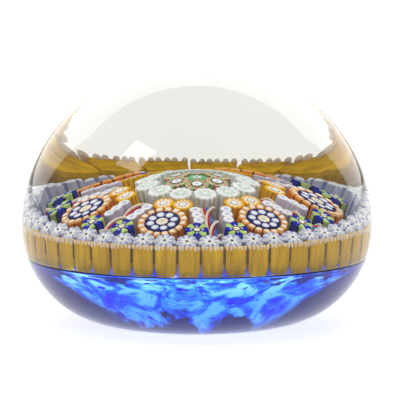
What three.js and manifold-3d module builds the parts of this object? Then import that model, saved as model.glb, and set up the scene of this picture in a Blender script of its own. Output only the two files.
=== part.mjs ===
// A millefiori glass paperweight: a clear crystal dome over a carpet of upright glass canes,
// which stands on a mottled colour ground set into a cobalt blue base.
// Millimetres, +Z up, origin at the middle of the flat foot that the weight rests on.
import * as THREE from "three";
import { mergeVertices } from "three/addons/utils/BufferGeometryUtils.js";
import Module from "manifold-3d";

const wasm = await Module();
wasm.setup();

// ---- Driving dimensions -------------------------------------------------------------------

const BODY_RADIUS = 38; // at the widest level
const BODY_HEIGHT = 56.8;
const WIDEST_Z = 22.4;
const CROWN_POWER = 1.88; // 2 would be an ellipse: a little less makes the crown slightly conical
const FOOT_RADIUS = 15.8; // of the flat foot
const FLANK_POWER = 2.1; // the lower flank is a quarter of a superellipse outside the foot
const JOIN_Z = 14.9; // where the crystal meets the cobalt base
const GLASS_GAP = 0.3; // between any two pieces that touch

const CARPET_TOP = 27.5; // the carpet of canes is a cushion: its height over the axis
const CARPET_FALL = 7; // and how much lower it is at CARPET_RADIUS, where it has levelled out
const CARPET_RADIUS = 34;
const GROUND_DROP = 6.2; // from the carpet's top to the ground's top
const CAVITY_CLEARANCE = 1.2; // above the cushion, for the higher staves at the back

const PANELS = 6; // the carpet repeats this many times, with a ribbon between panels
const FIRST_RIBBON = -80; // degrees from +X

const PONTIL_RADIUS = 9; // the polished hollow under the foot
const PONTIL_DEPTH = 0.6;
const GROUND_RADIUS = 32.4;
const GROUND_RIM_Z = 14; // the underside of the ground is a dish below this height
const DISH_DEPTH = 6.8;
const ROUND_STEPS = 48; // around the axis, for the turned pieces

const STAVE = { ring: 29.75, count: 42, halfWidth: 2.28, halfDepth: 1.6, corner: 3, sides: 12, rise: 0.6 };
const STAR = { ring: 25.4, count: 38, radius: 2.2, sides: 12 };
const WHITE = { ring: 7.55, count: 12, radius: 1.97, sides: 24 };
const CENTRE_RING = { ring: 3.5, count: 6, radius: 1.77, sides: 12, turn: -10 };
const CENTRE = { radius: 1.43, sides: 12 };
const YELLOW = { ring: 11.55, radius: 1.7, sides: 12, aside: 1.66 };
const ORANGE = { ring: 17.6, radius: 4.38, sides: 24 };
const BLUE = { along: 20, aside: 3.55, radius: 2.1, sides: 12 };
const LILAC = { first: 13.1, pitch: 1.65, count: 3, aside: 2.57, radius: 0.87, sides: 8 };
const RIBBON = { from: 9.85, to: 22, width: 2.2, thickness: 0.6, turns: 1.25, steps: 20, depth: 1.5 };

// ---- Shared heights and angles --------------------------------------------------------------

const PANEL_ANGLE = (2 * Math.PI) / PANELS;
const RIBBON_ANGLE = THREE.MathUtils.degToRad(FIRST_RIBBON);
const ribbonAngle = (panel) => RIBBON_ANGLE + panel * PANEL_ANGLE;
const panelAngle = (panel) => ribbonAngle(panel) + PANEL_ANGLE / 2;

const carpetZ = (radius) =>
  CARPET_TOP - (CARPET_FALL / 2) * (1 - Math.cos((Math.PI * radius) / CARPET_RADIUS));
const groundZ = (radius) => carpetZ(radius) - GROUND_DROP;

// A point given by how far it is along a direction from the axis, and aside of it.
function alongAside(angle, along, aside) {
  const direction = new THREE.Vector2(Math.cos(angle), Math.sin(angle));
  const sideways = new THREE.Vector2(-direction.y, direction.x);
  return direction.multiplyScalar(along).addScaledVector(sideways, aside);
}

// ---- Materials ------------------------------------------------------------------------------

const glass = (color, roughness = 0.1) =>
  new THREE.MeshStandardMaterial({ color, roughness, metalness: 0 });

const MATERIALS = {
  crystal: Object.assign(glass(0xf4f8f8, 0.02), { transparent: true, opacity: 0.35 }),
  cobalt: Object.assign(glass(0x1c2c8c, 0.04), { transparent: true, opacity: 0.8 }),
  ground: glass(0x5b8ff0, 0.3),
  ochre: glass(0xb8912a),
  starBlue: glass(0xb4bee2),
  white: glass(0xeaf0e8),
  green: glass(0x6fb07a),
  yellow: glass(0xf0b428),
  orange: glass(0xe07a18),
  blueGreen: glass(0x2028a0),
  lilac: glass(0xd6cce0),
  ribbon: glass(0xc03c44),
};

const paperweight = new THREE.Group();

function addPiece(name, geometry, material) {
  const mesh = new THREE.Mesh(geometry, material);
  mesh.name = name;
  paperweight.add(mesh);
  return mesh;
}

// ---- Turned glass bodies --------------------------------------------------------------------

// The lower flank's radius at a height.
function flankRadius(z) {
  const below = (WIDEST_Z - z) / WIDEST_Z;
  return FOOT_RADIUS + (BODY_RADIUS - FOOT_RADIUS) * (1 - below ** FLANK_POWER) ** (1 / FLANK_POWER);
}

// Evenly spaced numbers from a to b, both included.
const spread = (a, b, count) =>
  Array.from({ length: count + 1 }, (_, i) => a + ((b - a) * i) / count);

const turned = (points) =>
  new THREE.LatheGeometry(
    points.map(([r, z]) => new THREE.Vector2(r, z)),
    ROUND_STEPS,
  ).rotateX(Math.PI / 2);

// The ground's underside, from the axis out to its rim. It is lowered by a clearance.
const dishProfile = (lowered) =>
  spread(0, GROUND_RADIUS, 10).map((r) => [
    r,
    GROUND_RIM_Z - (DISH_DEPTH * (1 + Math.cos((Math.PI * r) / GROUND_RADIUS))) / 2 - lowered,
  ]);

function crystalDome() {
  const cavityRadius = STAVE.ring + STAVE.halfDepth + GLASS_GAP + 0.05;
  const crownHeight = BODY_HEIGHT - WIDEST_Z;
  const cavityTop = spread(0, cavityRadius, 10).map((r) => [r, carpetZ(r) + CAVITY_CLEARANCE]);
  const flank = spread(JOIN_Z, WIDEST_Z, 3).map((z) => [flankRadius(z), z]);
  const crown = spread(0, Math.PI / 2, 14)
    .slice(1)
    .map((t) => [
      t === Math.PI / 2 ? 0 : BODY_RADIUS * Math.cos(t),
      WIDEST_Z + crownHeight * Math.sin(t) ** (2 / CROWN_POWER),
    ]);
  return turned([...cavityTop, [cavityRadius, JOIN_Z], ...flank, ...crown]);
}

function mottledGround() {
  const top = spread(GROUND_RADIUS, 0, 8).map((r) => [r, groundZ(r)]);
  return turned([...dishProfile(0), ...top]);
}

function cobaltBase() {
  const rim = JOIN_Z - GLASS_GAP;
  const pontil = spread(0, PONTIL_RADIUS, 3).map((r) => [
    r,
    PONTIL_DEPTH * (1 - (r / PONTIL_RADIUS) ** 2),
  ]);
  const flank = spread(0, 1, 9)
    .slice(1)
    .map((t) => [flankRadius(rim * t ** 2), rim * t ** 2]);
  const recessRadius = GROUND_RADIUS + GLASS_GAP;
  const lip = [[recessRadius, rim], [recessRadius, GROUND_RIM_Z - GLASS_GAP]];
  const recess = dishProfile(GLASS_GAP).reverse();
  return turned([...pontil, [FOOT_RADIUS, 0], ...flank, ...lip, ...recess]);
}

// ---- Canes ------------------------------------------------------------------------------------

// A superellipse about a centre: power 2 is an ellipse, and more squares it off.
function outline(centre, halfAlong, halfAside, turn, sides, power = 2) {
  const squared = (value) => Math.sign(value) * Math.abs(value) ** (2 / power);
  return Array.from({ length: sides }, (_, i) => {
    const t = Math.PI / 2 + (2 * Math.PI * i) / sides;
    return new THREE.Vector2(halfAlong * squared(Math.cos(t)), halfAside * squared(Math.sin(t)))
      .rotateAround(new THREE.Vector2(), turn)
      .add(centre);
  });
}

// One upright cane. Its upper end follows the cushion, and its lower end stands just clear of
// the ground. A cane with a rise is taller by that much.
function cane(points, rise = 0) {
  const geometry = new THREE.ExtrudeGeometry(new THREE.Shape(points), { depth: 1, bevelEnabled: false });
  const position = geometry.getAttribute("position");
  for (let i = 0; i < position.count; i++) {
    const radius = Math.hypot(position.getX(i), position.getY(i));
    const upper = position.getZ(i) > 0.5;
    position.setZ(i, upper ? carpetZ(radius) + rise : groundZ(radius) + GLASS_GAP);
  }
  return geometry;
}

function solidOf(geometry) {
  const bare = new THREE.BufferGeometry();
  bare.setAttribute("position", geometry.getAttribute("position"));
  const merged = mergeVertices(bare, 1e-4);
  return new wasm.Manifold(
    new wasm.Mesh({
      numProp: 3,
      vertProperties: merged.getAttribute("position").array,
      triVerts: Uint32Array.from(merged.index.array),
    }),
  );
}

function geometryOf(solid) {
  const mesh = solid.getMesh();
  const geometry = new THREE.BufferGeometry();
  geometry.setAttribute("position", new THREE.BufferAttribute(mesh.vertProperties, 3));
  geometry.setIndex(new THREE.BufferAttribute(mesh.triVerts, 1));
  const faceted = geometry.toNonIndexed();
  faceted.computeVertexNormals();
  return faceted;
}

// Neighbouring canes overlap a little in outline, and are melted into one piece.
const fused = (geometries) =>
  geometryOf(geometries.map(solidOf).reduce((all, next) => all.add(next)));

// A full ring of equal canes, each turned to face outwards. With a rise they grow taller towards
// the back.
function caneRing({ ring, count, sides, power, rise = 0 }, halfAlong, halfAside, startAngle) {
  return fused(
    Array.from({ length: count }, (_, i) => {
      const angle = startAngle + (2 * Math.PI * i) / count;
      const points = outline(alongAside(angle, ring, 0), halfAlong, halfAside, angle, sides, power);
      return cane(points, (rise * (1 + Math.sin(angle))) / 2);
    }),
  );
}

const roundCane = (angle, along, aside, radius, sides) =>
  cane(outline(alongAside(angle, along, aside), radius, radius, angle, sides));

function staveRing() {
  const { count, halfWidth, halfDepth, corner } = STAVE;
  return caneRing({ ...STAVE, power: corner }, halfDepth, halfWidth, ribbonAngle(0) + Math.PI / count);
}

const starRing = () => caneRing(STAR, STAR.radius, STAR.radius, ribbonAngle(0) + Math.PI / STAR.count);

const whiteRing = () => caneRing(WHITE, WHITE.radius, WHITE.radius, ribbonAngle(0));

function centreRing() {
  const { radius, turn } = CENTRE_RING;
  return caneRing(CENTRE_RING, radius, radius, ribbonAngle(0) + THREE.MathUtils.degToRad(turn));
}

function yellowPair(panel) {
  const { ring, radius, sides, aside } = YELLOW;
  const along = Math.sqrt(ring ** 2 - aside ** 2);
  return fused([-aside, aside].map((side) => roundCane(panelAngle(panel), along, side, radius, sides)));
}

// A short row of thin canes along a ribbon, on the side that is 1 or -1.
function lilacRow(panel, side) {
  const { first, pitch, count, aside, radius, sides } = LILAC;
  return fused(
    Array.from({ length: count }, (_, i) =>
      roundCane(ribbonAngle(panel), first + i * pitch, side * aside, radius, sides),
    ),
  );
}

// A flat rod of fused threads, twisted while hot, which lies just under the carpet's surface.
function ribbon(panel) {
  const { from, to, width, thickness, turns, steps, depth } = RIBBON;
  const halfWidth = width / 2;
  const halfThickness = thickness / 2;
  const corners = [
    [-halfWidth, -halfThickness],
    [halfWidth, -halfThickness],
    [halfWidth, halfThickness],
    [-halfWidth, halfThickness],
  ];
  const shape = new THREE.Shape(corners.map(([x, y]) => new THREE.Vector2(x, y)));
  const geometry = new THREE.ExtrudeGeometry(shape, { depth: 1, steps, bevelEnabled: false });
  const position = geometry.getAttribute("position");
  const point = new THREE.Vector3();
  for (let i = 0; i < position.count; i++) {
    point.fromBufferAttribute(position, i);
    const along = from + (to - from) * point.z;
    const twist = new THREE.Vector2(point.x, point.y).rotateAround(
      new THREE.Vector2(),
      2 * Math.PI * turns * point.z,
    );
    const place = alongAside(ribbonAngle(panel), along, twist.x);
    position.setXYZ(i, place.x, place.y, carpetZ(along) - depth + twist.y);
  }
  return geometry;
}

// ---- The paperweight ----------------------------------------------------------------------------

addPiece("clear_crystal_dome", crystalDome(), MATERIALS.crystal);
addPiece("mottled_ground", mottledGround(), MATERIALS.ground);
addPiece("cobalt_base", cobaltBase(), MATERIALS.cobalt);
addPiece("ochre_stave_ring", staveRing(), MATERIALS.ochre);
addPiece("star_cane_ring", starRing(), MATERIALS.starBlue);
addPiece("white_cane_ring", whiteRing(), MATERIALS.white);
addPiece("centre_cane_ring", centreRing(), MATERIALS.green);
addPiece("centre_cane", roundCane(0, 0, 0, CENTRE.radius, CENTRE.sides), MATERIALS.green);

for (let panel = 0; panel < PANELS; panel++) {
  const number = panel + 1;
  addPiece(`twisted_ribbon_${number}`, ribbon(panel), MATERIALS.ribbon);
  addPiece(
    `orange_cluster_cane_${number}`,
    roundCane(panelAngle(panel), ORANGE.ring, 0, ORANGE.radius, ORANGE.sides),
    MATERIALS.orange,
  );
  addPiece(`yellow_cane_pair_${number}`, yellowPair(panel), MATERIALS.yellow);
  for (const [label, side] of [["left", 1], ["right", -1]]) {
    addPiece(
      `blue_green_cane_${number}_${label}`,
      roundCane(ribbonAngle(panel), BLUE.along, side * BLUE.aside, BLUE.radius, BLUE.sides),
      MATERIALS.blueGreen,
    );
    addPiece(`lilac_cane_row_${number}_${label}`, lilacRow(panel, side), MATERIALS.lilac);
  }
}

export default paperweight;
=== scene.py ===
import bpy
import math
import random
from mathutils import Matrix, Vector


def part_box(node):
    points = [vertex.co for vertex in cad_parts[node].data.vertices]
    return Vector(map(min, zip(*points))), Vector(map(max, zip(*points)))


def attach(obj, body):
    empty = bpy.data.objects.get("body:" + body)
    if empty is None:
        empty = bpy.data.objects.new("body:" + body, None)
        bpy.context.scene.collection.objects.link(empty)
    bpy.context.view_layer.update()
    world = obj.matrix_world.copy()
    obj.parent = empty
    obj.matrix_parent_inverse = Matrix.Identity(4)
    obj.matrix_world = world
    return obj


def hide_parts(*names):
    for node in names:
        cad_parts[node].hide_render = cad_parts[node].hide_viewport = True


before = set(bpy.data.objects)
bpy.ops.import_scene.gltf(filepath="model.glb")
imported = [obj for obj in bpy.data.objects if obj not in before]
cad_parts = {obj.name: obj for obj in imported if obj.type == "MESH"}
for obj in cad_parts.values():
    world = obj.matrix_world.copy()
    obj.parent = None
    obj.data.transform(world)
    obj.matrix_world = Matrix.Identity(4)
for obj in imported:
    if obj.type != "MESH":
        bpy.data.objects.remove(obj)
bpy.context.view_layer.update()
MM = 0.001
TAU = 2 * math.pi
scene = bpy.context.scene

# ---- Dimensions in millimetres, the same as the CAD's ------------------------------------------
BODY_R, BODY_H, WIDEST_Z = 38.0, 56.8, 22.4
CROWN_POWER = 1.88
FOOT_R, FLANK_POWER = 15.8, 2.1
JOIN_Z = 14.9
PONTIL_R, PONTIL_DEPTH = 9.0, 0.6
CARPET_TOP, CARPET_FALL, CARPET_R = 27.5, 7.0, 34.0
PANELS = 6
FIRST_RIBBON = math.radians(-80)
STAVE_COUNT, STAVE_RING = 42, 29.75
STAVE_RISE = 0.6  # the ring of staves is this much higher at the back than at the front
STAR_COUNT, STAR_RING = 38, 25.4

# ---- Dimensions in millimetres, of the visual only ---------------------------------------------
SEAM = 0.05  # the crystal reaches this far into the cobalt, so that no gap shows
CANE_LENGTH = 6.0
STAVE_FOOT = 15.3
GROUND_R, GROUND_Z, DISH_DEPTH = 32.2, 14.75, 7.2
GROUND_COLLAR = [(30.9, GROUND_Z + 0.6), (29.9, 17.2), (29.0, 17.8), (27.0, 17.6)]
GROUND_TOP_R, GROUND_UNDER_CARPET = 26, 5.9
FACE_LEAN = math.radians(10)
FACE_LEAN_RISE = math.radians(0.8)  # for each millimetre out from the middle

# ---- The mottled ground's look, in metres ------------------------------------------------------
# Strength of the mottled ground's painted glow, which stands in for the light that passes through it
GROUND_PAINTED_GLOW = 4.6
LIT_BAND_FOOT, LIT_BAND_TOP = 0.0126, 0.0176  # the heights of the band where the spatter shows; below and above it, painted navy shade covers it
SIDE_SHADE_REACH, SIDE_SHADE_FADE = 0.009, 0.003  # nearer than this to y = 0 it fades to painted navy shade
RAGGED_EDGE = 0.006

# ---- Camera, floor and smoothness --------------------------------------------------------------
SENSOR_MM, LENS_MM = 36, 332.6
LENS_SHIFT = (0.0075, 0.0193)
CAMERA_ELEVATION, CAMERA_DISTANCE = math.radians(7), 0.8
CAMERA_TARGET = Vector((0, 0, 0.025))
FLOOR_HALF, FLOOR_DROP = 6.0, 0.0002
CASING_SEGMENTS, GROUND_SEGMENTS = 256, 160


# ---- Camera ------------------------------------------------------------------------------------
def add_camera():
    data = bpy.data.cameras.new("camera")
    data.sensor_width = SENSOR_MM
    data.lens = LENS_MM
    data.shift_x, data.shift_y = LENS_SHIFT
    data.clip_end = 50
    camera = bpy.data.objects.new("camera", data)
    back = Vector((0, -math.cos(CAMERA_ELEVATION), math.sin(CAMERA_ELEVATION)))
    camera.location = CAMERA_TARGET + CAMERA_DISTANCE * back
    camera.rotation_euler = (math.radians(90) - CAMERA_ELEVATION, 0, 0)
    scene.collection.objects.link(camera)
    scene.camera = camera


add_camera()


# ---- Materials ---------------------------------------------------------------------------------
def linear(code):
    """A colour written as six hex digits, as linear RGBA."""
    values = [int(code[i : i + 2], 16) / 255 for i in (0, 2, 4)]
    return [v / 12.92 if v <= 0.04045 else ((v + 0.055) / 1.055) ** 2.4 for v in values] + [1]


class Nodes:
    """A material, with short ways to add nodes to it."""

    def __init__(self, name):
        self.material = bpy.data.materials.new(name)
        self.material.use_nodes = True
        self.tree = self.material.node_tree
        self.shader = self.tree.nodes["Principled BSDF"]
        self.output = self.tree.nodes["Material Output"]

    def add(self, kind, **values):
        node = self.tree.nodes.new(kind)
        for key, value in values.items():
            setattr(node, key, value)
        return node

    def link(self, a, b):
        self.tree.links.new(a, b)

    def place(self, scale):
        """Object coordinates, stretched."""
        coordinates = self.add("ShaderNodeTexCoord")
        mapping = self.add("ShaderNodeMapping")
        mapping.inputs["Scale"].default_value = scale
        self.link(coordinates.outputs["Object"], mapping.inputs["Vector"])
        return mapping.outputs["Vector"]

    def noise(self, vector, scale, detail=2.0, roughness=0.5, distortion=0.0):
        node = self.add("ShaderNodeTexNoise")
        node.inputs["Scale"].default_value = scale
        node.inputs["Detail"].default_value = detail
        node.inputs["Roughness"].default_value = roughness
        node.inputs["Distortion"].default_value = distortion
        self.link(vector, node.inputs["Vector"])
        return node.outputs["Fac"]

    def ramp(self, fac, stops):
        """Stops are (position, colour), with the colour as hex digits or RGBA."""
        node = self.add("ShaderNodeValToRGB")
        elements = node.color_ramp.elements
        while len(elements) < len(stops):
            elements.new(0.5)
        for element, (position, colour) in zip(elements, stops):
            element.position = position
            element.color = colour if not isinstance(colour, str) else linear(colour)
        self.link(fac, node.inputs["Fac"])
        return node.outputs["Color"]

    def mix(self, fac, a, b, mode="MIX"):
        """Mixes two colours. The numbers are the places of a colour mix's sockets."""
        node = self.add("ShaderNodeMix", data_type="RGBA", blend_type=mode)
        for place, value in ((0, fac), (6, a), (7, b)):
            if isinstance(value, (float, list)):
                node.inputs[place].default_value = value
            else:
                self.link(value, node.inputs[place])
        return node.outputs[2]

    def ragged(self, value, scale):
        """A length in metres, moved up by noise so that its edge is uneven."""
        node = self.add("ShaderNodeMath", operation="MULTIPLY_ADD")
        self.link(self.noise(self.place((1, 1, 1)), scale, 3, 0.6), node.inputs[0])
        node.inputs[1].default_value = RAGGED_EDGE
        self.link(value, node.inputs[2])
        return node.outputs["Value"]

    def between(self, value, low, high):
        """0 at low and 1 at high."""
        node = self.add("ShaderNodeMapRange")
        self.link(value, node.inputs["Value"])
        node.inputs["From Min"].default_value = low
        node.inputs["From Max"].default_value = high
        return node.outputs["Result"]


def cane_glass(name, light, dark):
    """Opaque cane glass: fine streaks run along the cane, where the glass was pulled."""
    n = Nodes(name)
    fine = n.noise(n.place((1, 1, 0.12)), 900, 3, 0.6)
    n.link(n.ramp(fine, [(0.3, dark), (0.7, light)]), n.shader.inputs["Base Color"])
    n.shader.inputs["Roughness"].default_value = 0.35
    n.shader.inputs["Specular IOR Level"].default_value = 0.0
    return n.material


COLOURS = {
    "ochre": ("FAC400", "C49200"),
    "ochre_dark": ("7C5A10", "4C380C"),
    "cream": ("FFF4E2", "F6DDBE"),
    "peach": ("FFC47C", "F8A850"),
    "orange": ("FF9400", "EA7600"),
    "orange_dark": ("6A3212", "401C10"),
    "navy": ("34376E", "1D1F4C"),
    "lavender": ("DADCF6", "B9BDE4"),
    "white": ("FCFCFA", "E6E8EC"),
    "white_green": ("FFFFFF", "F0F6F0"),
    "pale_green": ("DCEEDE", "B4D4BC"),
    "green": ("86D09C", "4FA070"),
    "leaf": ("A8CC78", "7CA850"),
    "salmon": ("E0A090", "C07060"),
    "black": ("26262E", "101014"),
    "yellow": ("FFD022", "F6A806"),
    "yellow_dark": ("9A5A10", "6A3A0C"),
    "cobalt": ("2630C4", "12168C"),
    "lime": ("CFE796", "A9CB66"),
    "periwinkle": ("DCE0F6", "B4BCE2"),
    "periwinkle_dark": ("9AA0CE", "767CB8"),
    "lilac": ("F4EEF6", "D4CCE4"),
    "lilac_dark": ("A89CC0", "84789E"),
    "red": ("D8444A", "A82430"),
    "blue": ("5A8AD0", "3460AC"),
}
MATERIALS = {name: cane_glass(name, *pair) for name, pair in COLOURS.items()}


def casing_glass(name, noise, tints, absorbed, density):
    """Glass that light passes through. The absorbed colour deepens with the path's length."""
    n = Nodes(name)
    tint = n.noise(n.place((1, 1, 1)), *noise)
    stops = [(0.3, tints[0]), (0.7, tints[1])]
    n.link(n.ramp(tint, stops), n.shader.inputs["Base Color"])
    n.shader.inputs["Roughness"].default_value = 0.0
    n.shader.inputs["IOR"].default_value = 1.5
    n.shader.inputs["Transmission Weight"].default_value = 1.0
    absorb = n.add("ShaderNodeVolumeAbsorption")
    absorb.inputs["Color"].default_value = absorbed
    absorb.inputs["Density"].default_value = density
    n.link(absorb.outputs["Volume"], n.output.inputs["Volume"])
    return n.material


def clear_glass():
    tints = ("FDFEFE", "FFFFFF")
    return casing_glass("clear_crystal", (60, 2), tints, (0.5, 0.5, 0.44, 1), 10.5)


def cobalt_glass():
    tints = ("E4E8FA", "FFFFFF")
    return casing_glass("cobalt_glass", (90, 3), tints, (0.0, 0.4, 0.72, 1), 210)


def ground_glass():
    """Spattered blue and white glass. It glows with painted light, in place of the light that passes
    through it.

    The spatter is painted over with navy shade low down, high up under the canes, and across the
    middle from left to right, where the ground is unlit. That band of painted shade is set for the
    view from the front or the back.
    """
    n = Nodes("mottled_glass")
    place = n.place((1, 1, 1.6))
    clouds = n.noise(place, 210, 6, 0.6, 0.7)
    base = n.ramp(clouds, [(0.34, "0A2CC8"), (0.43, "1F6CFF"), (0.5, "7CBEFF"), (0.56, "FFFFFF")])
    fleck = n.noise(place, 300, 2, 0.5, 0.3)
    violet = n.ramp(fleck, [(0.62, (0, 0, 0, 1)), (0.68, (1, 1, 1, 1))])
    spatter = n.mix(violet, base, linear("3A22C0"))
    # Painted shade: navy covers the spatter low down, high up under the canes and near y = 0, where
    # the ground is unlit. The masks below are 1 where the ground is painted as lit and 0 where it is
    # painted navy shade.
    axes = n.add("ShaderNodeSeparateXYZ")
    n.link(n.place((1, 1, 1)), axes.inputs["Vector"])
    level = n.between(n.ragged(axes.outputs["Z"], 160), LIT_BAND_FOOT, LIT_BAND_TOP)
    black, grey, white = (0, 0, 0, 1), (0.02, 0.02, 0.02, 1), (1, 1, 1, 1)
    painted_lit_by_height = n.ramp(level, [(0.1, black), (0.22, white), (0.86, white), (1.0, grey)])
    across = n.add("ShaderNodeMath", operation="ABSOLUTE")
    n.link(axes.outputs["Y"], across.inputs[0])
    sideways = n.ragged(across.outputs["Value"], 120)
    painted_lit_off_sides = n.between(sideways, SIDE_SHADE_REACH, SIDE_SHADE_REACH + SIDE_SHADE_FADE)
    painted_lit_share = n.mix(1.0, painted_lit_by_height, painted_lit_off_sides, "MULTIPLY")
    colour = n.mix(painted_lit_share, linear("0A1158"), spatter)
    n.link(colour, n.shader.inputs["Base Color"])
    # Painted light: the ground's colour also glows, in place of the light that passes through it
    n.link(colour, n.shader.inputs["Emission Color"])
    n.shader.inputs["Emission Strength"].default_value = GROUND_PAINTED_GLOW
    n.shader.inputs["Roughness"].default_value = 0.4
    n.shader.inputs["Specular IOR Level"].default_value = 0.0
    return n.material


# ---- Meshes ------------------------------------------------------------------------------------
def add_piece(name, mesh, node):
    obj = bpy.data.objects.new(name, mesh)
    scene.collection.objects.link(obj)
    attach(obj, "root")
    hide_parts(node)


class Bundle:
    """A bundle of glass rods that becomes one object: each rod is a closed prism."""

    def __init__(self):
        self.points, self.faces, self.slots, self.names = [], [], [], []
        self.leaning = None

    def lean(self, cx, cy, z):
        """Rods added from here on lean outwards, about the middle of the cane's top."""
        r = math.hypot(cx, cy)
        a = FACE_LEAN + FACE_LEAN_RISE * r
        self.leaning = (cx, cy, z, cx / r, cy / r, math.cos(a), math.sin(a))

    def leaned(self, point):
        cx, cy, cz, ux, uy, c, s = self.leaning
        x, y, z = point[0] - cx, point[1] - cy, point[2] - cz
        out, across = x * ux + y * uy, y * ux - x * uy
        out, up = out * c + z * s, z * c - out * s
        return (cx + out * ux - across * uy, cy + out * uy + across * ux, cz + up)

    def slot(self, name):
        if name not in self.names:
            self.names.append(name)
        return self.names.index(name)

    def layers(self, rings, sides, bottom, top):
        """Rings of (x, y, z) points, joined by bands with a material each, and capped."""
        start, count = len(self.points), len(rings[0])
        for ring in rings:
            self.points += [self.leaned(point) for point in ring] if self.leaning else ring
        for k, side in enumerate(sides):
            a, b = start + k * count, start + (k + 1) * count
            for i in range(count):
                j = (i + 1) % count
                self.faces.append((a + i, a + j, b + j, b + i))
                self.slots.append(self.slot(side))
        self.faces.append(tuple(start + i for i in reversed(range(count))))
        self.slots.append(self.slot(bottom))
        last = start + (len(rings) - 1) * count
        self.faces.append(tuple(last + i for i in range(count)))
        self.slots.append(self.slot(top))

    def rod(self, outline, low, high, side, top=None, rim=None, bevel=0.0):
        """A prism over an outline of (x, y); rim is the material of its bevelled upper edge."""
        if bevel:
            cx = sum(p[0] for p in outline) / len(outline)
            cy = sum(p[1] for p in outline) / len(outline)
            size = max(math.hypot(p[0] - cx, p[1] - cy) for p in outline)
            k = 1 - bevel / size
            inner = [(cx + (x - cx) * k, cy + (y - cy) * k, high) for x, y in outline]
            rings = [[(x, y, z) for x, y in outline] for z in (low, high - bevel)]
            self.layers(rings + [inner], [side, rim or top or side], side, top or side)
        else:
            rings = [[(x, y, z) for x, y in outline] for z in (low, high)]
            self.layers(rings, [side], side, top or side)

    def finish(self, node, smooth=False):
        name = node + "_glass"
        mesh = bpy.data.meshes.new(name)
        mesh.from_pydata([(x * MM, y * MM, z * MM) for x, y, z in self.points], [], self.faces)
        for label in self.names:
            mesh.materials.append(MATERIALS[label])
        for polygon, index in zip(mesh.polygons, self.slots):
            polygon.material_index = index
            polygon.use_smooth = smooth
        mesh.validate()
        add_piece(name, mesh, node)


def at(cx, cy, r, a):
    return (cx + r * math.cos(a), cy + r * math.sin(a))


def rotated(along, aside, angle):
    """A point that lies along a direction from the axis, and aside from it."""
    x = along * math.cos(angle) - aside * math.sin(angle)
    y = along * math.sin(angle) + aside * math.cos(angle)
    return x, y


def circle(cx, cy, r, sides=20, turn=0.0):
    return [at(cx, cy, r, turn + TAU * i / sides) for i in range(sides)]


def lobed(cx, cy, r, lobes, depth, turn=0.0, per=6):
    """A round outline with rounded lobes."""
    count = lobes * per
    outline = []
    for i in range(count):
        a = TAU * i / count
        reach = r * (1 - depth * (1 - abs(math.cos(lobes * a / 2))))
        outline.append(at(cx, cy, reach, turn + a))
    return outline


def star(cx, cy, r, inner, points, turn=0.0):
    """A star outline. The notches between its points lie at r times inner."""
    reach = (r, r * inner)
    return [at(cx, cy, reach[i % 2], turn + math.pi * i / points) for i in range(2 * points)]


def wedge(cx, cy, r0, r1, a0, a1, bulge=0.05, steps=4):
    """Part of a ring, with a bulging outer edge."""
    outer = []
    for i in range(steps + 1):
        t = i / steps
        outer.append(at(cx, cy, r1 * (1 - bulge * (2 * t - 1) ** 2), a0 + (a1 - a0) * t))
    inner = [at(cx, cy, r0, a1), at(cx, cy, r0, (a0 + a1) / 2), at(cx, cy, r0, a0)]
    return outer + inner


def carpet_z(r):
    """Height of the cushion that the canes' tops form."""
    return CARPET_TOP - CARPET_FALL / 2 * (1 - math.cos(math.pi * r / CARPET_R))


def centre_of(node):
    """Middle of a CAD node, at the cushion's height there, in millimetres."""
    low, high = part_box(node)
    x, y = (low.x + high.x) / 2 / MM, (low.y + high.y) / 2 / MM
    return x, y, carpet_z(math.hypot(x, y))


# ---- Canes -------------------------------------------------------------------------------------
# In each cane R is its radius, and the parts of its pattern are given as shares of R. The faces
# of the parts differ a little in height, so that no two overlap in one plane.
def orange_cane(node):
    cx, cy, z = centre_of(node)
    low = z - CANE_LENGTH
    R, cogs, cells = 4.42, 16, 8
    turn = math.atan2(cy, cx)
    b = Bundle()
    b.lean(cx, cy, z)
    b.rod(circle(cx, cy, 0.955 * R, 48), low, z - 0.25, "orange_dark")
    for i in range(cogs):
        a = turn + TAU * i / cogs
        half = 0.445 * TAU / cogs
        cog = wedge(cx, cy, 0.7 * R, R, a - half, a + half)
        b.rod(cog, low, z, "orange", "cream", "peach", 0.28)
    b.rod(circle(cx, cy, 0.69 * R, 40), low, z + 0.02, "navy")
    for i in range(cells):
        x, y = at(cx, cy, 0.47 * R, turn + TAU * (i + 0.5) / cells)
        b.rod(circle(x, y, 0.155 * R, 16), low, z + 0.05, "lavender")
        b.rod(circle(x, y, 0.105 * R, 14), low, z + 0.07, "white")
    b.rod(lobed(cx, cy, 0.245 * R, 10, 0.15), low, z + 0.05, "cream")
    b.rod(star(cx, cy, 0.12 * R, 0.55, 6), low, z + 0.07, "pale_green")
    b.finish(node)


def yellow_cane(b, cx, cy, z, R, turn):
    low, petals = z - CANE_LENGTH, 12
    b.lean(cx, cy, z)
    b.rod(circle(cx, cy, 0.93 * R, 32), low, z - 0.2, "yellow_dark")
    for i in range(petals):
        a = turn + TAU * i / petals
        half = 0.46 * TAU / petals
        petal = wedge(cx, cy, 0.62 * R, R, a - half, a + half, 0.08)
        b.rod(petal, low, z, "yellow", "yellow", "yellow", 0.1)
        x, y = at(cx, cy, 0.66 * R, a)
        b.rod(circle(x, y, 0.12 * R, 8), low, z + 0.03, "cream")
    b.rod(circle(cx, cy, 0.62 * R, 28), low, z + 0.01, "cream")
    b.rod(circle(cx, cy, 0.38 * R, 24), low, z + 0.03, "yellow_dark")
    b.rod(lobed(cx, cy, 0.33 * R, 8, 0.12), low, z + 0.05, "white_green")
    b.rod(circle(cx, cy, 0.1 * R, 8), low, z + 0.07, "pale_green")


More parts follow.
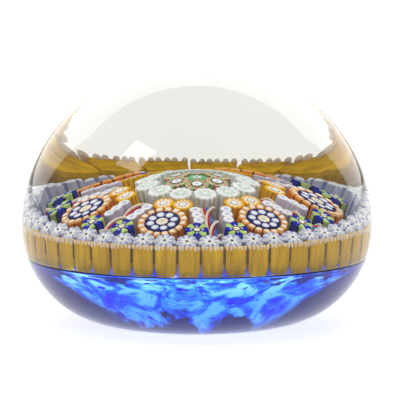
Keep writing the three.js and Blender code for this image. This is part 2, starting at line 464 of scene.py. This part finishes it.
def yellow_pair(node, panel):
    b = Bundle()
    angle = FIRST_RIBBON + TAU * (panel + 0.5) / PANELS
    R, ring, aside = 1.74, 11.55, 1.66
    along = math.sqrt(ring ** 2 - aside ** 2)
    for side in (-aside, aside):
        cx, cy = rotated(along, side, angle)
        yellow_cane(b, cx, cy, carpet_z(ring), R, angle)
    b.finish(node)


def blue_green_cane(node):
    cx, cy, z = centre_of(node)
    low = z - CANE_LENGTH
    R, petals = 2.12, 8
    turn = math.atan2(cy, cx)
    b = Bundle()
    b.lean(cx, cy, z)
    b.rod(circle(cx, cy, 0.96 * R, 32), low, z - 0.2, "black")
    for i in range(petals):
        a = turn + TAU * i / petals
        blue = i % 2 == 0
        half = (0.5 if blue else 0.43) * TAU / petals
        colour = "cobalt" if blue else "lime"
        petal = wedge(cx, cy, 0.3 * R, R, a - half, a + half, 0.06)
        b.rod(petal, low, z, colour, colour, colour, 0.1)
        if blue:
            x, y = at(cx, cy, 0.48 * R, a)
            b.rod(star(x, y, 0.16 * R, 0.5, 3, a), low, z + 0.03, "lavender")
    b.rod(circle(cx, cy, 0.33 * R, 20), low, z + 0.04, "black")
    b.rod(lobed(cx, cy, 0.27 * R, 8, 0.1), low, z + 0.06, "cream")
    b.rod(circle(cx, cy, 0.09 * R, 8), low, z + 0.08, "pale_green")
    b.finish(node)


def lilac_row(node, panel, side):
    b = Bundle()
    R, first, pitch, aside = 1.02, 12.95, 1.78, 2.6
    angle = FIRST_RIBBON + TAU * panel / PANELS
    for i in range(3):
        cx, cy = rotated(first + pitch * i, aside * side, angle)
        z = carpet_z(math.hypot(cx, cy))
        low = z - CANE_LENGTH
        b.lean(cx, cy, z)
        b.rod(circle(cx, cy, 0.88 * R, 20), low, z - 0.1, "lilac_dark")
        b.rod(lobed(cx, cy, R, 10, 0.12), low, z, "lilac", "white", "lilac", 0.12)
        b.rod(star(cx, cy, 0.5 * R, 0.5, 6), low, z + 0.02, "lavender")
    b.finish(node)


def white_ring(node):
    b = Bundle()
    count, ring, R = 12, 7.55, 1.98
    for i in range(count):
        a = FIRST_RIBBON + TAU * i / count
        cx, cy = at(0, 0, ring, a)
        z = carpet_z(ring)
        low = z - CANE_LENGTH
        b.lean(cx, cy, z)
        b.rod(circle(cx, cy, 0.9 * R, 24), low, z - 0.15, "pale_green")
        body = star(cx, cy, 1.02 * R, 0.84, 12, a)
        b.rod(body, low, z, "white_green", "white", "white_green", 0.15)
        b.rod(star(cx, cy, 0.62 * R, 0.55, 8, a), low, z + 0.03, "pale_green")
        b.rod(star(cx, cy, 0.4 * R, 0.5, 8, a), low, z + 0.05, "white")
    b.finish(node)


def centre_ring(node):
    b = Bundle()
    count, ring, R, petals = 6, 3.5, 1.77, 12
    for i in range(count):
        a = FIRST_RIBBON + math.radians(-10) + TAU * i / count
        cx, cy = at(0, 0, ring, a)
        z = carpet_z(ring)
        low = z - CANE_LENGTH
        b.lean(cx, cy, z)
        b.rod(circle(cx, cy, 0.95 * R, 28), low, z - 0.15, "black")
        for k in range(petals):
            t = a + TAU * k / petals
            half = 0.44 * TAU / petals
            colour = "leaf" if k % 2 else "salmon"
            petal = wedge(cx, cy, 0.5 * R, 1.02 * R, t - half, t + half)
            b.rod(petal, low, z, colour, colour, "cream", 0.12)
        b.rod(circle(cx, cy, 0.56 * R, 24), low, z + 0.03, "black")
        b.rod(lobed(cx, cy, 0.48 * R, 8, 0.16, a), low, z + 0.05, "white")
        b.rod(circle(cx, cy, 0.12 * R, 10), low, z + 0.07, "lavender")
    b.finish(node)


def centre_cane(node):
    b = Bundle()
    R, z = 1.5, CARPET_TOP
    low = z - CANE_LENGTH
    b.rod(lobed(0, 0, R, 12, 0.1), low, z, "green", "green", "green", 0.12)
    b.rod(star(0, 0, 0.62 * R, 0.45, 8), low, z + 0.04, "white")
    b.rod(circle(0, 0, 0.16 * R, 12), low, z + 0.06, "green")
    b.finish(node)


def star_ring(node):
    b = Bundle()
    R, points = 2.13, 8
    rng = random.Random(11)
    for i in range(STAR_COUNT):
        a = FIRST_RIBBON + TAU * (i + 0.5) / STAR_COUNT
        cx, cy = at(0, 0, STAR_RING, a)
        z = carpet_z(STAR_RING) + rng.uniform(-0.12, 0.12)
        low = z - CANE_LENGTH
        turn = a + rng.uniform(-0.3, 0.3)
        b.lean(cx, cy, z)
        b.rod(circle(cx, cy, 0.9 * R, 28), low, z - 0.15, "periwinkle_dark")
        for k in range(points):
            t = turn + TAU * k / points
            half = 0.42 * TAU / points
            petal = wedge(cx, cy, 0.3 * R, R, t - half, t + half, 0.12)
            b.rod(petal, low, z, "periwinkle", "periwinkle", "white", 0.26)
        b.rod(star(cx, cy, 0.86 * R, 0.42, points, turn), low, z + 0.05, "white")
        b.rod(circle(cx, cy, 0.13 * R, 12), low, z + 0.08, "black")
    b.finish(node)


def stave_outline(cx, cy, half_r, half_t, turn, z):
    """A rounded oblong (a superellipse) at height z."""
    sides, corner = 28, 4.5
    points = []
    for i in range(sides):
        t = TAU * i / sides
        c, s = math.cos(t), math.sin(t)
        x = half_r * math.copysign(abs(c) ** (2 / corner), c)
        y = half_t * math.copysign(abs(s) ** (2 / corner), s)
        dx, dy = rotated(x, y, turn)
        points.append((cx + dx, cy + dy, z))
    return points


def stave_ring(node):
    b = Bundle()
    teeth, tooth_pitch, tooth_ring = 6, 0.0245, STAVE_RING + 1.42
    disc_foot, disc_r = 17.6, STAVE_RING + 1.25
    rng = random.Random(5)
    for i in range(STAVE_COUNT):
        a = FIRST_RIBBON + TAU * (i + 0.5) / STAVE_COUNT
        cx, cy = at(0, 0, STAVE_RING, a)
        rise = STAVE_RISE * (1 + math.sin(a)) / 2
        z = carpet_z(STAVE_RING) + rise + rng.uniform(-0.1, 0.1)
        low = STAVE_FOOT + rng.uniform(-0.2, 0.2)
        twist = a + rng.uniform(-0.02, 0.02)
        # Half depth, half width and height of each section, from the blunt lower end up.
        sections = [(1.0, 1.35, low - 0.3), (1.35, 1.88, low + 0.05), (1.55, 2.1, low + 0.9)]
        sections += [(1.6, 2.19, low + 1.8), (1.6, 2.19, z - 0.3), (1.5, 2.12, z)]
        rings = [stave_outline(cx, cy, r, t, twist, h) for r, t, h in sections]
        b.layers(rings, ["ochre"] * 5, "ochre", "ochre")
        for k in range(teeth):
            t = a + (k - (teeth - 1) / 2) * tooth_pitch + rng.uniform(-0.004, 0.004)
            x, y = at(0, 0, tooth_ring, t)
            foot = z - 0.5 + rng.uniform(-0.2, 0.2)
            sizes = [(0.12, foot - 0.15), (0.27, foot + 0.1), (0.3, z + 0.1), (0.16, z + 0.24)]
            tooth = [[(px, py, h) for px, py in circle(x, y, r, 8)] for r, h in sizes]
            b.layers(tooth, ["cream"] * 3, "cream", "cream")
    # A dark disc under the whole carpet closes the gaps between the staves. The CAD has no such disc.
    b.rod(circle(0, 0, disc_r, 168), disc_foot, carpet_z(STAVE_RING) - 0.5, "ochre_dark")
    b.finish(node)


# Each of a ribbon's threads: its distance from the ribbon's middle, its radius and its colour.
THREADS = [
    (-1.0, 0.24, "cream"),
    (-0.58, 0.27, "red"),
    (0.0, 0.36, "blue"),
    (0.58, 0.27, "red"),
    (1.0, 0.24, "cream"),
]


def ribbon(node, panel):
    start, end, depth = 9.85, 22.0, 1.5
    turns, steps, sides = 1.25, 72, 10
    angle = FIRST_RIBBON + TAU * panel / PANELS
    b = Bundle()
    for offset, radius, colour in THREADS:
        widen, flatten = (1, 1) if colour == "cream" else (1.15, 0.8)
        rings = []
        for k in range(steps + 1):
            t = k / steps
            along = start + (end - start) * t
            twist = TAU * turns * t
            cu, su = math.cos(twist), math.sin(twist)
            z = carpet_z(along) - depth
            ring = []
            for m in range(sides):
                w = TAU * m / sides
                u = offset + radius * math.cos(w) * widen
                v = radius * math.sin(w) * flatten
                x, y = rotated(along, u * cu - v * su, angle)
                ring.append((x, y, z + u * su + v * cu))
            rings.append(ring)
        b.layers(rings, [colour] * steps, colour, colour)
    b.finish(node, smooth=True)


# ---- Turned bodies -----------------------------------------------------------------------------
def lathe(profile, segments, material, name, node):
    """A closed turned body: the profile runs from the axis, outwards and back to the axis."""
    points, faces, rows = [], [], []
    for r, z in profile:
        if r < 1e-6:
            rows.append([len(points)])
            points.append((0, 0, z * MM))
        else:
            rows.append(list(range(len(points), len(points) + segments)))
            for i in range(segments):
                a = TAU * i / segments
                points.append((r * MM * math.cos(a), r * MM * math.sin(a), z * MM))
    for a, b in zip(rows, rows[1:]):
        for i in range(segments):
            j = (i + 1) % segments
            if len(a) == 1:
                faces.append((a[0], b[j], b[i]))
            elif len(b) == 1:
                faces.append((a[i], a[j], b[0]))
            else:
                faces.append((a[i], a[j], b[j], b[i]))
    mesh = bpy.data.meshes.new(name)
    mesh.from_pydata(points, [], faces)
    mesh.materials.append(material)
    for polygon in mesh.polygons:
        polygon.use_smooth = True
    add_piece(name, mesh, node)


def flank_r(z):
    """Radius of the body below its widest part."""
    below = (WIDEST_Z - z) / WIDEST_Z
    return FOOT_R + (BODY_R - FOOT_R) * (1 - below ** FLANK_POWER) ** (1 / FLANK_POWER)


def spread(a, b, count):
    """Evenly spaced values from a to b, in count steps."""
    return [a + (b - a) * i / count for i in range(count + 1)]


def crystal():
    bottom = JOIN_Z - SEAM
    profile = [(r, bottom) for r in spread(0, flank_r(bottom) - 0.02, 6)]
    profile += [(flank_r(z), z) for z in spread(bottom + 0.01, WIDEST_Z, 24)]
    height = BODY_H - WIDEST_Z
    for t in spread(0, math.pi / 2, 110)[1:-1]:
        profile.append((BODY_R * math.cos(t), WIDEST_Z + height * math.sin(t) ** (2 / CROWN_POWER)))
    profile.append((0, BODY_H))
    glass = clear_glass()
    lathe(profile, CASING_SEGMENTS, glass, "clear_crystal", "clear_crystal_dome")


def base():
    profile = [(r, PONTIL_DEPTH * (1 - (r / PONTIL_R) ** 2)) for r in spread(0, PONTIL_R, 10)]
    profile += [(r, 0) for r in spread(PONTIL_R + 0.02, FOOT_R, 4)]
    profile += [(flank_r(JOIN_Z * t ** 2), JOIN_Z * t ** 2) for t in spread(0, 1, 48)[1:]]
    profile += [(r, JOIN_Z) for r in spread(flank_r(JOIN_Z) - 0.02, 0, 6)]
    lathe(profile, CASING_SEGMENTS, cobalt_glass(), "cobalt_casing", "cobalt_base")


def dish_z(r):
    """Underside of the mottled ground."""
    return GROUND_Z - DISH_DEPTH * (1 + math.cos(math.pi * r / GROUND_R)) / 2


def ground():
    profile = [(r, dish_z(r)) for r in spread(0, GROUND_R, 40)]
    profile += GROUND_COLLAR
    profile += [(r, carpet_z(r) - GROUND_UNDER_CARPET) for r in spread(GROUND_TOP_R, 0, 24)]
    glass = ground_glass()
    lathe(profile, GROUND_SEGMENTS, glass, "mottled_glass_ground", "mottled_ground")


crystal()
base()
ground()
stave_ring("ochre_stave_ring")
star_ring("star_cane_ring")
white_ring("white_cane_ring")
centre_ring("centre_cane_ring")
centre_cane("centre_cane")
for panel in range(PANELS):
    number = panel + 1
    ribbon(f"twisted_ribbon_{number}", panel)
    orange_cane(f"orange_cluster_cane_{number}")
    yellow_pair(f"yellow_cane_pair_{number}", panel)
    for label, side in (("left", 1), ("right", -1)):
        blue_green_cane(f"blue_green_cane_{number}_{label}")
        lilac_row(f"lilac_cane_row_{number}_{label}", panel, side)


# ---- Floor, world and lights -------------------------------------------------------------------
def floor():
    """A pale floor that gives some light of its own, like a light table."""
    n = Nodes("pale_floor")
    n.shader.inputs["Base Color"].default_value = (0.25, 0.25, 0.25, 1)
    n.shader.inputs["Emission Color"].default_value = (1, 1, 1, 1)
    n.shader.inputs["Emission Strength"].default_value = 0.85
    n.shader.inputs["Roughness"].default_value = 0.9
    n.shader.inputs["Specular IOR Level"].default_value = 0.0
    mesh = bpy.data.meshes.new("floor")
    s = FLOOR_HALF
    mesh.from_pydata([(-s, -s, 0), (s, -s, 0), (s, s, 0), (-s, s, 0)], [], [(0, 1, 2, 3)])
    mesh.materials.append(n.material)
    obj = bpy.data.objects.new("floor", mesh)
    obj.location.z = -FLOOR_DROP
    scene.collection.objects.link(obj)


def area(name, place, aim, size, power, glossy=True):
    """An area light. Without glossy, it isn't seen in reflections."""
    data = bpy.data.lights.new(name, "AREA")
    data.shape = "RECTANGLE"
    data.size, data.size_y = size
    data.energy = power
    obj = bpy.data.objects.new(name, data)
    obj.location = place
    obj.visible_glossy = glossy
    obj.rotation_euler = (Vector(aim) - Vector(place)).to_track_quat("-Z", "Y").to_euler()
    scene.collection.objects.link(obj)


floor()
world = bpy.data.worlds.new("studio")
world.use_nodes = True
world.node_tree.nodes["Background"].inputs["Color"].default_value = (1, 1, 1, 1)
world.node_tree.nodes["Background"].inputs["Strength"].default_value = 0.5
scene.world = world
area("top_softbox", (0, -0.1, 1.2), (0, 0, 0), (1.2, 1.2), 16, False)
area("window_light", (-0.55, -0.29, 0.8), (0, 0, 0.03), (0.3, 0.3), 1.2)
area("back_panel", (0, 1.0, 0.72), (0, 0, 0.5), (3.0, 1.3), 18)
scene.view_settings.view_transform = "Standard"
scene.cycles.use_denoising = True
scene.cycles.max_bounces = 16
scene.cycles.transmission_bounces = 16
scene.cycles.transparent_max_bounces = 16
scene.cycles.blur_glossy = 0.5
